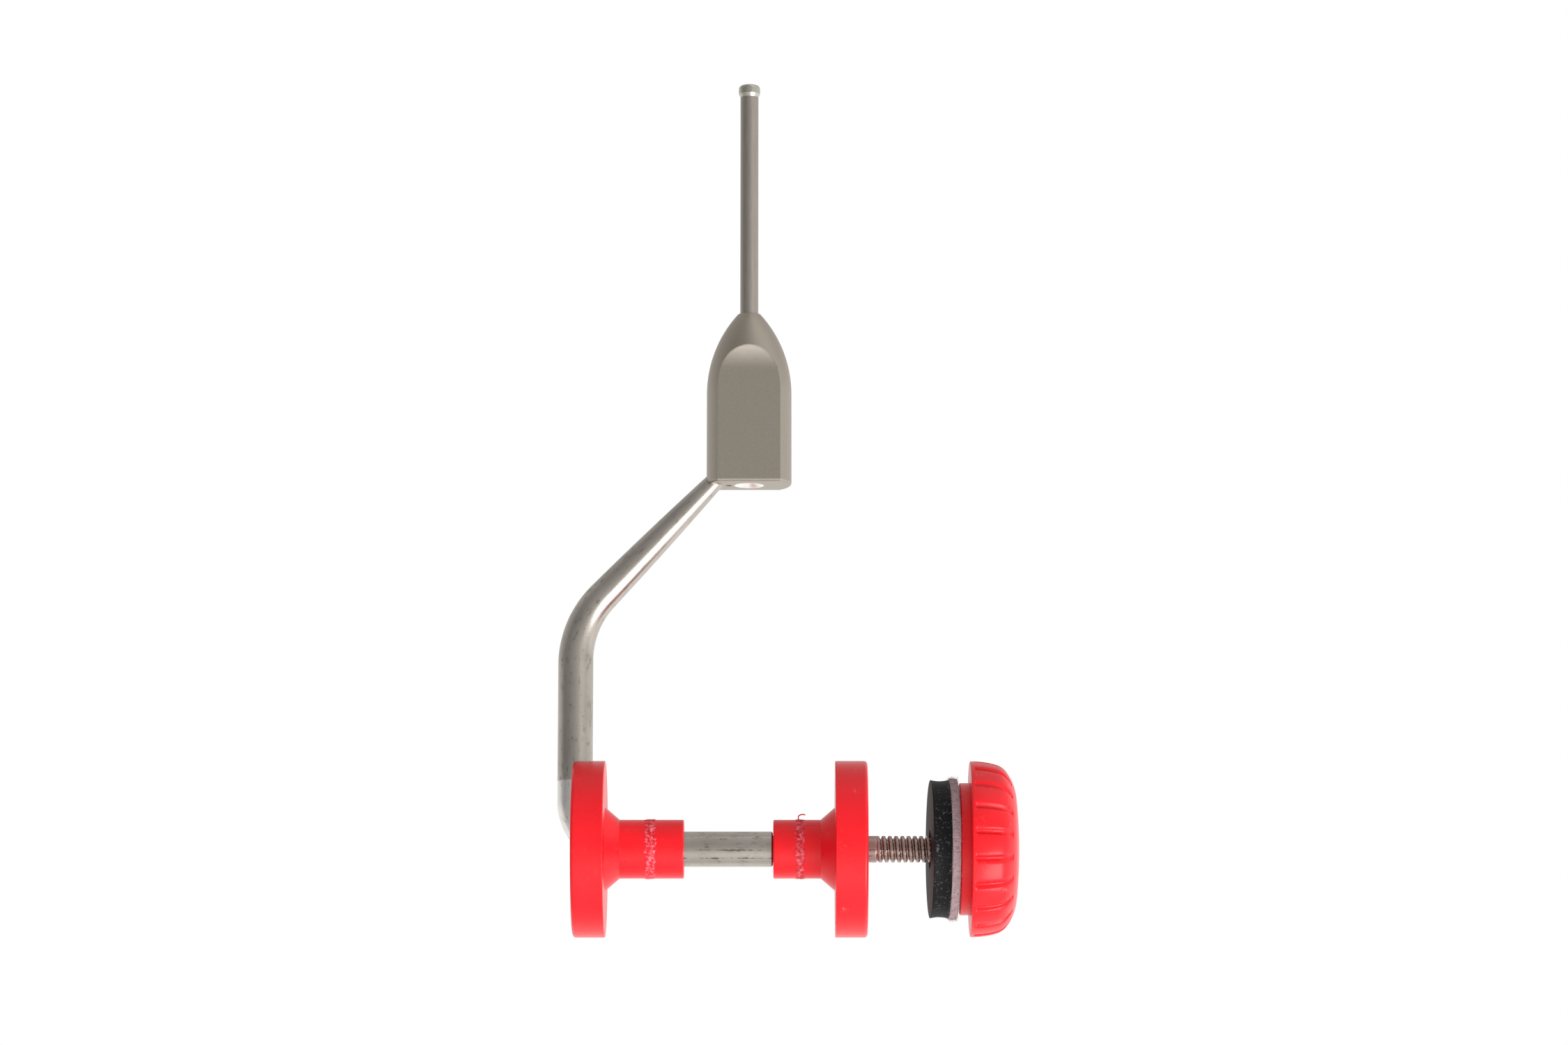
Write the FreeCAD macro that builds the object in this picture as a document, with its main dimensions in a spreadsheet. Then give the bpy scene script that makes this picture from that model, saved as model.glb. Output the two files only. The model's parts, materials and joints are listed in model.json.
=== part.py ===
import FreeCAD, Part

import math
import os

import Sketcher

# Thread bobbin holder for fly tying: a bent rod carries a bullet-shaped head with a thread tube
# above a shaft for the thread spool.  Two tapered plastic holders centre the spool, and a knob
# on the threaded end of the shaft presses a rubber disc and a felt washer on the right holder.
#
# Millimetres.  +Z runs up the tube, +X along the shaft towards the knob.
# The origin is the mouth of the tube, where the thread leaves.

SIZES = {
    # overall lay-out
    "mouth_height": 100.0,        # shaft axis to the mouth of the tube
    "arm_offset": 22.2,           # tube axis to the upright leg of the arm
    # arm: one bent rod
    "rod_diameter": 4.5,
    "lower_bend_radius": 6.1,     # of the rod's centre line
    "upper_bend_radius": 12.4,
    "lean_angle": 43.7,           # of the slanting run, from the upright
    "bend_taper": 0.24,           # lost from the rod's radius along the upper bend
    "slant_taper": 0.936,         # lost from its radius along the slanting run
    "slant_crown": 0.108,         # how far the taper bulges at mid length
    "slant_end_place": 3.2,       # tube axis to the middle of the rod's end in the head
    "slant_end_depth": 1.83,      # the same point above the bottom of the head
    # shaft end
    "shoulder_place": 3.1,        # tube axis to the shoulder of the shaft
    "spindle_diameter": 3.4,
    "thread_start": 16.2,
    "thread_pitch": 0.79375,      # 32 threads to the inch
    "thread_depth": 0.42,
    "edge_chamfer": 0.2,
    # head
    "head_bottom": 47.05,         # above the shaft axis
    "head_top": 69.5,
    "head_radius": 5.47,
    "nose_start": 59.0,           # where the straight side ends
    "nose_arc_radius": 15.8,
    "flat_half_width": 3.7,       # tube axis to each finger flat
    "flat_top": 61.6,             # where the cutter starts to run out
    "cutter_radius": 7.85,
    "head_edge_fillet": 0.35,
    "inlet_flare": 0.48,          # of the countersink, beyond the tube
    "inlet_depth": 0.5,
    "pit_radius": 0.4,
    "pit_depth": 0.8,
    "pit_place": 2.6,
    # tube and its tip guide
    "tube_radius": 1.17,
    "bore_radius": 0.7,
    "guide_length": 1.6,
    "guide_wall": 0.22,           # beyond the tube
    "guide_socket": 0.9,
    "guide_edge_radius": 0.5,
    "mouth_edge_radius": 0.15,
    # spool holders
    "flange_radius": 11.25,
    "flange_width": 4.1,
    "flange_outer_fillet": 0.45,
    "flange_inner_fillet": 0.12,
    "hub_radius": 3.75,
    "cone_radius": 5.35,
    "cone_length": 1.85,
    "left_hub_length": 8.2,
    "right_hub_length": 6.05,
    "hub_edge_fillet": 0.2,
    "flange_proud": 0.2,          # leg's axis to the outer face of the left holder
    "slot_clearance": 0.06,       # round the rod in the left holder
    "running_clearance": 0.05,    # right holder on the spindle
    "end_gap": 0.03,              # right holder to the shoulder
    "dish_radius": 8.6,
    "dish_depth": 0.3,
    # drag washers
    "disc_place": 23.1,           # tube axis to the rubber disc
    "disc_radius": 8.85,
    "disc_width": 2.3,
    "disc_clearance": 0.8,        # round the spindle
    "rim_dip": 0.16,
    "washer_gap": 0.02,
    "drag_tilt": 2.1,             # the loose disc and felt lean by this on the spindle
    "felt_radius": 8.95,
    "felt_width": 1.1,
    "felt_clearance": 0.4,        # round the spindle
    # knob and its threaded insert
    "boss_gap": 0.33,             # felt washer to the face of the knob's boss
    "boss_radius": 8.42,
    "boss_length": 1.35,
    "boss_fillet": 0.15,
    "knob_radius": 11.2,
    "rim_run": 0.15,              # straight part of the knob's rim
    "crown_radius": 10.9,         # the knob's outline is four arcs that run into each other
    "crown_angle": 16.0,
    "corner_radius": 2.6,
    "corner_angle": 54.0,
    "shoulder_radius": 6.5,
    "shoulder_angle": 84.0,
    "grip_count": 20,
    "grip_width": 0.6,
    "grip_depth": 0.35,
    "grip_inset": 0.4,
    "grip_clocking": 6.0,         # the knob's turn about the shaft as it is set here
    "insert_radius": 3.0,
    "insert_length": 5.6,
    "thread_clearance": 0.05,
    "thread_engaged": 1.15,       # spindle inside the knob as it is set here
    "knob_turns": 7.2,            # until the spindle meets the blind end
    "tip_clearance": 0.035,
}

document = FreeCAD.newDocument("bobbin_holder")
sheet = document.addObject("Spreadsheet::Sheet", "Sizes")
for row, (alias, number) in enumerate(SIZES.items(), start=1):
    sheet.set("A%d" % row, alias)
    sheet.set("B%d" % row, str(number))
    sheet.setAlias("B%d" % row, alias)
document.recompute()


class Size:
    """A size that is known as a number and as the sheet expression that gives it."""

    def __init__(self, value, text=None):
        self.value = float(value)
        self.text = text or repr(float(value))

    def __add__(self, other):
        other = as_size(other)
        return Size(self.value + other.value, "(%s + %s)" % (self.text, other.text))

    def __sub__(self, other):
        other = as_size(other)
        return Size(self.value - other.value, "(%s - %s)" % (self.text, other.text))

    def __mul__(self, other):
        other = as_size(other)
        return Size(self.value * other.value, "(%s * %s)" % (self.text, other.text))

    def __truediv__(self, other):
        other = as_size(other)
        return Size(self.value / other.value, "(%s / %s)" % (self.text, other.text))

    def __neg__(self):
        return Size(-self.value, "(0 - %s)" % self.text)


def as_size(number):
    return number if isinstance(number, Size) else Size(number)


def size(alias):
    return Size(SIZES[alias], "Sizes.%s" % alias)


def root(number):
    return Size(math.sqrt(number.value), "sqrt(%s)" % number.text)


def smaller(one, other):
    return Size(min(one.value, other.value), "min(%s; %s)" % (one.text, other.text))


def sine(angle):
    return Size(math.sin(math.radians(angle.value)), "sin(%s * 1deg)" % angle.text)


def cosine(angle):
    return Size(math.cos(math.radians(angle.value)), "cos(%s * 1deg)" % angle.text)


def tangent(angle):
    return Size(math.tan(math.radians(angle.value)), "tan(%s * 1deg)" % angle.text)


UPRIGHT = FreeCAD.Vector(0, 0, 1)
TO_THE_LEFT = FreeCAD.Vector(-1, 0, 0)


def new_body(label, x, z, y=None):
    """A body whose origin is x along the shaft, z above the shaft's axis and y behind it."""
    body = document.addObject("PartDesign::Body", label)
    body.Label = label
    body.setExpression(".Placement.Base.x", as_size(x).text)
    if y is not None:
        body.setExpression(".Placement.Base.y", y.text)
    body.setExpression(".Placement.Base.z", (as_size(z) - size("mouth_height")).text)
    return body


def turn_body(body, axis, angle):
    """Turns a body about its own origin, by an angle in degrees."""
    body.Placement.Rotation = FreeCAD.Rotation(axis, angle.value)
    body.setExpression(".Placement.Rotation.Angle", "%s * 1deg" % angle.text)


def new_sketch(body, name, role="XZ_Plane"):
    plane = next(item for item in body.Origin.OriginFeatures if item.Role == role)
    sketch = body.newObject("Sketcher::SketchObject", name)
    sketch.AttachmentSupport = [(plane, "")]
    sketch.MapMode = "FlatFace"
    return sketch


def arc_between(start, end, radius):
    """A circle's arc between two points; a positive radius bends the way to the left."""
    chord = end - start
    rise = math.sqrt(max(radius ** 2 - (chord.Length / 2) ** 2, 0.0))
    left = FreeCAD.Vector(-chord.y, chord.x, 0).normalize()
    centre = (start + end) * 0.5 + left * math.copysign(rise, radius)
    angles = [math.atan2(point.y - centre.y, point.x - centre.x) for point in (start, end)]
    if radius < 0:
        angles.reverse()
    circle = Part.Circle(centre, FreeCAD.Vector(0, 0, 1), abs(radius))
    return Part.ArcOfCircle(circle, angles[0], angles[1])


def pin_point(sketch, edge, end, point):
    """Ties one end of an edge to its place with two expressions."""
    for axis, kind, place in ((-2, "DistanceX", point[0]), (-1, "DistanceY", point[1])):
        if place.value == 0.0:
            sketch.addConstraint(Sketcher.Constraint("PointOnObject", edge, end, axis))
            continue
        rule = Sketcher.Constraint(kind, -1, 1, edge, end, place.value)
        number = sketch.addConstraint(rule)
        sketch.setExpression("Constraints[%d]" % number, place.text)


def draw(sketch, steps, closed=True):
    """Draws an outline through steps (x, y) or (x, y, radius), an arc that ends at x, y."""
    points = [(as_size(step[0]), as_size(step[1])) for step in steps]
    spots = [FreeCAD.Vector(x.value, y.value, 0) for x, y in points]
    count = len(points)
    edges = []
    for index in range(1, count + 1 if closed else count):
        start = spots[index - 1]
        end = spots[index % count]
        step = steps[index % count]
        radius = as_size(step[2]) if len(step) > 2 else None
        if radius:
            edge = sketch.addGeometry(arc_between(start, end, radius.value), False)
            rule = Sketcher.Constraint("Radius", edge, abs(radius.value))
            number = sketch.addConstraint(rule)
            sketch.setExpression("Constraints[%d]" % number, "abs(%s)" % radius.text)
            ends = (1, 2) if radius.value > 0 else (2, 1)
        else:
            edge = sketch.addGeometry(Part.LineSegment(start, end), False)
            ends = (1, 2)
        edges.append((edge, ends))
    for index, (edge, ends) in enumerate(edges):
        pin_point(sketch, edge, ends[0], points[index])
        following = edges[(index + 1) % len(edges)]
        if closed or index + 1 < len(edges):
            sketch.addConstraint(
                Sketcher.Constraint("Coincident", edge, ends[1], following[0], following[1][0]))
        else:
            pin_point(sketch, edge, ends[1], points[-1])
    return sketch


def draw_circle(sketch, x, y, radius):
    x, y, radius = as_size(x), as_size(y), as_size(radius)
    centre = FreeCAD.Vector(x.value, y.value, 0)
    circle = Part.Circle(centre, FreeCAD.Vector(0, 0, 1), radius.value)
    edge = sketch.addGeometry(circle, False)
    pin_point(sketch, edge, 3, (x, y))
    number = sketch.addConstraint(Sketcher.Constraint("Radius", edge, radius.value))
    sketch.setExpression("Constraints[%d]" % number, radius.text)
    return sketch


def turn(body, name, steps, axis="H_Axis", kind="Revolution"):
    """Turns an outline about the sketch's own axis: adds metal, or cuts it as a Groove."""
    sketch = draw(new_sketch(body, name + "_outline"), steps)
    feature = body.newObject("PartDesign::%s" % kind, name)
    feature.Profile = sketch
    feature.ReferenceAxis = (sketch, [axis])
    feature.Angle = 360.0
    return feature


def cut_through(body, name, sketch, width=None):
    """Cuts a sketch's outline out of the body, to both sides of its plane."""
    pocket = body.newObject("PartDesign::Pocket", name)
    pocket.Profile = sketch
    pocket.Midplane = True
    if width is None:
        pocket.Type = 1
    else:
        pocket.setExpression("Length", as_size(width).text)
    return pocket


def round_edges(body, name, radius, wanted):
    """Rounds the edges of the body's last feature for which wanted(edge) is true."""
    document.recompute()
    base = body.Tip
    names = ["Edge%d" % (number + 1) for number, edge in enumerate(base.Shape.Edges)
             if wanted(edge)]
    fillet = body.newObject("PartDesign::Fillet", name)
    fillet.Base = (base, names)
    fillet.setExpression("Radius", radius.text)
    return fillet


# ------------------------------------------------------------------ arm
# One rod: the shaft, the lower bend, the upright leg, the upper bend and the slanting run.
# The body's origin is where the shaft's axis crosses the upright leg's axis.

lean = size("lean_angle")
rod_radius = size("rod_diameter") / 2
bend_end_radius = rod_radius - size("bend_taper")
bend_reach = size("upper_bend_radius") * tangent(lean / 2)
slant_run = size("arm_offset") - size("slant_end_place")
elbow_height = size("head_bottom") + size("slant_end_depth") - slant_run / tangent(lean)
leg_top = elbow_height - bend_reach
slant_start = (bend_reach * sine(lean), elbow_height + bend_reach * cosine(lean))
slant_length = slant_run / sine(lean) - bend_reach

# places along the shaft, from the tube's axis
spindle_radius = size("spindle_diameter") / 2
left_face = size("arm_offset") + size("flange_proud")
felt_place = size("disc_place") + size("disc_width") + size("washer_gap")
boss_place = felt_place + size("felt_width") + size("boss_gap")
spindle_end = boss_place + size("thread_engaged")


def slant_outline():
    """Outline of the tapering run, drawn upright: its axis is the sketch's vertical."""
    taper = size("slant_taper")
    crown = size("slant_crown")
    arc_radius = (taper * taper + slant_length * slant_length) / (crown * 8) + crown / 2
    return [
        (0, 0), (bend_end_radius, 0), (bend_end_radius - taper, slant_length, arc_radius),
        (0, slant_length)]


def lean_sketch(sketch, x, z):
    """Moves a sketch to x, z in the XZ plane and leans it over by the lean angle."""
    sketch.AttachmentOffset = FreeCAD.Placement(
        FreeCAD.Vector(x.value, z.value, 0),
        FreeCAD.Rotation(FreeCAD.Vector(0, 0, 1), -lean.value))
    sketch.setExpression(".AttachmentOffset.Base.x", x.text)
    sketch.setExpression(".AttachmentOffset.Base.y", z.text)
    sketch.setExpression(".AttachmentOffset.Rotation.Angle", "(0 - %s) * 1deg" % lean.text)


def make_arm():
    body = new_body("arm", -size("arm_offset"), 0)
    shoulder = size("arm_offset") + size("shoulder_place")
    lower = size("lower_bend_radius")
    route = draw(new_sketch(body, "rod_route"),
                 [(shoulder, 0), (lower, 0), (0, lower, -lower), (0, leg_top)], closed=False)
    section = new_sketch(body, "rod_section", "YZ_Plane")
    section.AttachmentOffset = FreeCAD.Placement(
        FreeCAD.Vector(0, 0, shoulder.value), FreeCAD.Rotation())
    section.setExpression(".AttachmentOffset.Base.z", shoulder.text)
    draw_circle(section, 0, 0, rod_radius)
    rod = body.newObject("PartDesign::AdditivePipe", "rod")
    rod.Profile = section
    rod.Spine = (route, ["Edge1", "Edge2", "Edge3"])
    document.recompute()

    bend_route = draw(new_sketch(body, "bend_route"),
                      [(0, leg_top), (slant_start[0], slant_start[1],
                                      -size("upper_bend_radius"))], closed=False)
    bend_start = new_sketch(body, "bend_start", "XY_Plane")
    bend_start.AttachmentOffset = FreeCAD.Placement(
        FreeCAD.Vector(0, 0, leg_top.value), FreeCAD.Rotation())
    bend_start.setExpression(".AttachmentOffset.Base.z", leg_top.text)
    draw_circle(bend_start, 0, 0, rod_radius)
    bend_end = new_sketch(body, "bend_end", "XY_Plane")
    bend_end.AttachmentOffset = FreeCAD.Placement(
        FreeCAD.Vector(slant_start[0].value, 0, slant_start[1].value),
        FreeCAD.Rotation(FreeCAD.Vector(0, 1, 0), lean.value))
    bend_end.setExpression(".AttachmentOffset.Base.x", slant_start[0].text)
    bend_end.setExpression(".AttachmentOffset.Base.z", slant_start[1].text)
    bend_end.setExpression(".AttachmentOffset.Rotation.Angle", "%s * 1deg" % lean.text)
    draw_circle(bend_end, 0, 0, bend_end_radius)
    bend = body.newObject("PartDesign::AdditivePipe", "upper_bend")
    bend.Profile = bend_start
    bend.Spine = (bend_route, ["Edge1"])
    bend.Sections = [(bend_end, [""])]
    bend.Transformation = "Multisection"
    document.recompute()

    slant = new_sketch(body, "slant_outline")
    lean_sketch(slant, *slant_start)
    draw(slant, slant_outline())
    taper = body.newObject("PartDesign::Revolution", "slanting_run")
    taper.Profile = slant
    taper.ReferenceAxis = (slant, ["V_Axis"])
    taper.Angle = 360.0

    end = size("arm_offset") + spindle_end
    chamfer = size("edge_chamfer")
    turn(body, "spindle", [
        (shoulder - 1, 0), (shoulder - 1, spindle_radius), (end - chamfer, spindle_radius),
        (end, spindle_radius - chamfer), (end, 0)])
    turn(body, "shoulder_chamfer", [
        (shoulder - chamfer, rod_radius), (shoulder - chamfer, rod_radius + 1),
        (shoulder + 1, rod_radius + 1), (shoulder + 1, rod_radius - chamfer),
        (shoulder, rod_radius - chamfer)], kind="Groove")
    make_thread(body)
    return body


def make_thread(body):
    """One V groove, repeated at the pitch: rings in place of the screw's helix."""
    pitch = size("thread_pitch")
    crest = pitch / 8
    first = size("arm_offset") + size("thread_start")
    valley = first + pitch / 2
    above = spindle_radius + crest
    slope = (pitch - crest) / 2
    groove = turn(body, "thread_groove", [
        (valley, spindle_radius - size("thread_depth")), (valley + slope, spindle_radius),
        (valley + slope, above), (valley - slope, above), (valley - slope, spindle_radius)],
        kind="Groove")
    document.recompute()
    turns = body.newObject("PartDesign::LinearPattern", "thread")
    turns.Originals = [groove]
    turns.Direction = (groove.Profile[0], ["H_Axis"])
    run = spindle_end - size("edge_chamfer") - size("thread_start")
    count = "floor(%s / %s)" % (run.text, pitch.text)
    turns.setExpression("Occurrences", count)
    turns.setExpression("Length", "(%s - 1) * %s" % (count, pitch.text))
    body.Tip = turns


# ------------------------------------------------------------------ head
# A bullet-shaped block with two finger flats.  The origin is where tube and shaft axes cross.

def make_head():
    body = new_body("head_block", 0, 0)
    bottom = size("head_bottom")
    top = size("head_top")
    side = size("head_radius")
    nose = size("nose_arc_radius")
    rise = top - size("nose_start")
    nose_tip = side - nose + root(nose * nose - rise * rise)
    turn(body, "bullet", [
        (0, bottom), (side, bottom), (side, size("nose_start")), (nose_tip, top, nose),
        (0, top)], axis="V_Axis")

    flat = size("flat_half_width")
    cutter = size("cutter_radius")
    outside = flat + cutter
    for name, way in (("front_flat", -1), ("back_flat", 1)):
        sketch = new_sketch(body, name + "_outline", "YZ_Plane")
        draw(sketch, [
            (flat * way, bottom - 1), (flat * way, size("flat_top")),
            (outside * way, size("flat_top") + cutter, -cutter * way),
            (outside * way, bottom - 1)])
        cut_through(body, name, sketch)

    def at_bottom(edge):
        return abs(edge.BoundBox.ZMax - bottom.value) < 1e-6
    round_edges(body, "bottom_edge", size("head_edge_fillet"), at_bottom)

    tube = size("tube_radius")
    inlet = tube + size("inlet_flare")
    turn(body, "tube_hole", [
        (0, bottom - 1), (inlet, bottom - 1), (inlet, bottom),
        (tube, bottom + size("inlet_depth")), (tube, top + 1), (0, top + 1)],
        axis="V_Axis", kind="Groove")

    socket = new_sketch(body, "arm_socket_outline")
    lean_sketch(socket, slant_start[0] - size("arm_offset"), slant_start[1])
    draw(socket, slant_outline())
    arm_socket = body.newObject("PartDesign::Groove", "arm_socket")
    arm_socket.Profile = socket
    arm_socket.ReferenceAxis = (socket, ["V_Axis"])
    arm_socket.Angle = 360.0

    pit = new_sketch(body, "pit_outline", "XY_Plane")
    pit.AttachmentOffset = FreeCAD.Placement(
        FreeCAD.Vector(0, 0, bottom.value), FreeCAD.Rotation())
    pit.setExpression(".AttachmentOffset.Base.z", bottom.text)
    draw_circle(pit, -size("pit_place"), 0, size("pit_radius"))
    cut_through(body, "braze_vent", pit, size("pit_depth") * 2)
    return body


# ------------------------------------------------------------------ tube and tip guide

def make_tube():
    body = new_body("thread_tube", 0, 0)
    bottom = size("head_bottom") + size("inlet_depth")
    top = size("mouth_height") - size("guide_length") + size("guide_socket")
    turn(body, "tube", [
        (size("bore_radius"), bottom), (size("tube_radius"), bottom),
        (size("tube_radius"), top), (size("bore_radius"), top)], axis="V_Axis")
    return body


def make_tip_guide():
    body = new_body("tube_tip_guide", 0, 0)
    mouth = size("mouth_height")
    bottom = mouth - size("guide_length")
    seat = bottom + size("guide_socket")
    tube = size("tube_radius")
    outer = tube + size("guide_wall")
    bore = size("bore_radius")
    lip = size("mouth_edge_radius")
    edge = smaller(size("guide_edge_radius"), (outer - bore - lip) * 0.95)
    turn(body, "ring", [
        (tube, bottom), (outer, bottom + (outer - tube) * 2), (outer, mouth - edge),
        (outer - edge, mouth, edge), (bore + lip, mouth), (bore, mouth - lip, lip),
        (bore, seat), (tube, seat)], axis="V_Axis")
    return body


# ------------------------------------------------------------------ spool holders

def holder_outline(hub_length, bore, dished):
    """Half section of a holder: its outer face is at 0 and its hub points along +X."""
    flange = size("flange_width")
    rim = size("flange_radius")
    outer_round = size("flange_outer_fillet")
    inner_round = size("flange_inner_fillet")
    cone_end = flange + size("cone_length")
    hub_end = cone_end + hub_length
    hub = size("hub_radius")
    hub_round = size("hub_edge_fillet")
    steps = [(0, bore)]
    if dished:
        dish = size("dish_depth")
        steps = [(dish, bore), (dish, size("dish_radius") - dish), (0, size("dish_radius"))]
    steps += [
        (0, rim - outer_round), (outer_round, rim, -outer_round),
        (flange - inner_round, rim), (flange, rim - inner_round, -inner_round),
        (flange, size("cone_radius")), (cone_end, hub), (hub_end - hub_round, hub),
        (hub_end, hub - hub_round, -hub_round), (hub_end, bore)]
    return steps


def make_left_holder():
    """Keyed to the arm: the rod's lower bend lies in a flat-walled slot of the flange."""
    body = new_body("left_spool_holder", -left_face, 0)
    gap = size("slot_clearance")
    turn(body, "holder", holder_outline(size("left_hub_length"), rod_radius + gap, False))

    bend = size("lower_bend_radius")
    inner = bend - rod_radius - gap
    outer = bend + rod_radius + gap
    centre_x = size("flange_proud") + bend
    above = size("flange_radius") + 1
    slot = new_sketch(body, "rod_slot_outline")
    draw(slot, [
        (centre_x, bend - outer, outer), (centre_x, bend - inner),
        (centre_x - inner, bend, -inner), (centre_x - inner, above),
        (centre_x - outer, above), (centre_x - outer, bend)])
    cut_through(body, "rod_slot", slot, (rod_radius + gap) * 2)
    return body


def make_right_holder():
    """Free to turn on the spindle: the same holder, shorter, with its hub towards the left."""
    outer_face = (size("shoulder_place") + size("end_gap") + size("right_hub_length")
                  + size("cone_length") + size("flange_width"))
    body = new_body("right_spool_holder", outer_face, 0)
    turn_body(body, UPRIGHT, Size(180.0))
    bore = spindle_radius + size("running_clearance")
    turn(body, "holder", holder_outline(size("right_hub_length"), bore, True))
    return body


# ------------------------------------------------------------------ drag washers

def make_friction_disc():
    body = new_body("friction_disc", size("disc_place"), 0)
    rim = size("disc_radius")
    width = size("disc_width")
    hole = spindle_radius + size("disc_clearance")
    dip = size("rim_dip")
    hollow = width * width / (dip * 8) + dip / 2
    turn(body, "disc", [(0, hole), (0, rim), (width, rim, hollow), (width, hole)])
    turn_body(body, UPRIGHT, size("drag_tilt"))
    return body


def make_felt_washer():
    """Flat against the rubber disc, so it leans with it."""
    tilt = size("drag_tilt")
    apart = felt_place - size("disc_place")
    body = new_body("felt_washer", size("disc_place") + apart * cosine(tilt), 0,
                    apart * sine(tilt))
    rim = size("felt_radius")
    hole = spindle_radius + size("felt_clearance")
    width = size("felt_width")
    turn(body, "washer", [(0, hole), (0, rim), (width, rim), (width, hole)])
    turn_body(body, UPRIGHT, tilt)
    return body


# ------------------------------------------------------------------ knob

def arc_end(start, radius, first_angle, last_angle):
    """End of an arc that falls away from the rim between two slopes, in degrees."""
    return (start[0] + radius * (sine(last_angle) - sine(first_angle)),
            start[1] - radius * (cosine(first_angle) - cosine(last_angle)))


def make_knob():
    body = new_body("drag_knob", boss_place, 0)
    level = Size(0.0)
    rim = size("knob_radius")
    left = size("boss_length")
    bevel = size("boss_fillet")
    crown = size("crown_radius")
    corner = size("corner_radius")
    shoulder = size("shoulder_radius")
    angles = [level, size("crown_angle"), size("corner_angle"), size("shoulder_angle")]
    crown_start = (left + bevel + size("rim_run"), rim)
    crown_end = arc_end(crown_start, crown, angles[0], angles[1])
    corner_end = arc_end(crown_end, corner, angles[1], angles[2])
    shoulder_end = arc_end(corner_end, shoulder, angles[2], angles[3])
    dome = shoulder_end[1] / cosine(angles[3])
    dome_end = shoulder_end[0] + dome * (Size(1.0) - sine(angles[3]))
    insert = size("insert_radius")
    cavity = spindle_radius + size("thread_clearance")
    insert_end = size("insert_length")
    travel = size("knob_turns") * size("thread_pitch")
    depth = size("thread_engaged") + travel + size("tip_clearance")
    boss = size("boss_radius")
    turn(body, "wheel", [
        (0, insert), (0, boss - bevel), (bevel, boss, -bevel), (left, boss),
        (left, rim - bevel), (left + bevel, rim, -bevel), crown_start,
        (crown_end[0], crown_end[1], -crown), (corner_end[0], corner_end[1], -corner),
        (shoulder_end[0], shoulder_end[1], -shoulder), (dome_end, 0, -dome),
        (depth, 0), (depth, cavity), (insert_end, cavity), (insert_end, insert)])

    # a grip groove has a floor one depth under the outline, and runs out straight on the dome
    sunk = size("grip_depth")
    start = left + size("grip_inset")
    tilt = angles[2]
    floor_start = (crown_start[0], rim - sunk)
    floor_crown = arc_end(floor_start, crown - sunk, angles[0], angles[1])
    floor_corner = arc_end(floor_crown, corner - sunk, angles[1], angles[2])
    run_out = shoulder
    far = (floor_corner[0] + run_out * cosine(tilt), floor_corner[1] - run_out * sine(tilt))
    outside = rim + sunk
    grip = draw(new_sketch(body, "grip_outline"), [
        (start, outside), (start, rim - sunk), (start + bevel, rim - sunk),
        (floor_crown[0], floor_crown[1], -(crown - sunk)),
        (floor_corner[0], floor_corner[1], -(corner - sunk)), far, (far[0], outside)])
    groove = cut_through(body, "grip_groove", grip, size("grip_width"))
    document.recompute()
    ring = body.newObject("PartDesign::PolarPattern", "grip_grooves")
    ring.Originals = [groove]
    ring.Axis = (grip, ["H_Axis"])
    ring.Angle = 360.0
    ring.setExpression("Occurrences", size("grip_count").text)
    body.Tip = ring
    turn_body(body, TO_THE_LEFT, size("grip_clocking"))
    return body


def make_knob_insert():
    body = new_body("knob_thread_insert", boss_place, 0)
    bore = spindle_radius + size("thread_clearance")
    outer = size("insert_radius")
    length = size("insert_length")
    lead = size("edge_chamfer")
    turn(body, "insert", [
        (0, bore + lead), (0, outer), (length, outer), (length, bore), (lead, bore)])
    return body


MAKERS = (make_arm, make_head, make_tube, make_tip_guide, make_left_holder,
          make_right_holder, make_friction_disc, make_felt_washer, make_knob,
          make_knob_insert)
bodies = [make() for make in MAKERS]
document.recompute()

for item in document.Objects:
    if "Invalid" in item.State or "Error" in item.State:
        raise RuntimeError("%s failed: %s" % (item.Label, item.State))
for body in bodies:
    if body.Shape.isNull() or not body.Shape.isValid() or len(body.Shape.Solids) != 1:
        raise RuntimeError("%s has no sound solid" % body.Label)

os.makedirs("parts", exist_ok=True)
for body in bodies:
    body.Shape.exportStep("parts/%s.step" % body.Label)
    box = body.Shape.BoundBox
    print("%-20s %8.1f mm3  X %.2f..%.2f  Y %.2f..%.2f  Z %.2f..%.2f" % (
        body.Label, body.Shape.Volume, box.XMin, box.XMax, box.YMin, box.YMax,
        box.ZMin, box.ZMax))
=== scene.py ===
# %% [markdown]
# # A fly tying thread bobbin holder
#
# A bent steel arm carries a bullet-shaped head with a thread tube above a short shaft.  A spool of
# thread sits between two red plastic holders on that shaft.  A red knob on the threaded end of the
# shaft squeezes a rubber disc and a felt washer, and that sets how hard the thread has to be pulled.
#
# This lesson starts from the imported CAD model, which gives every size, and adds what CAD leaves
# out: the cut thread, the felt's loose fibres, soft grip grooves, mould flash, and every finish.

# %% Load the frame
import json
import math

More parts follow.
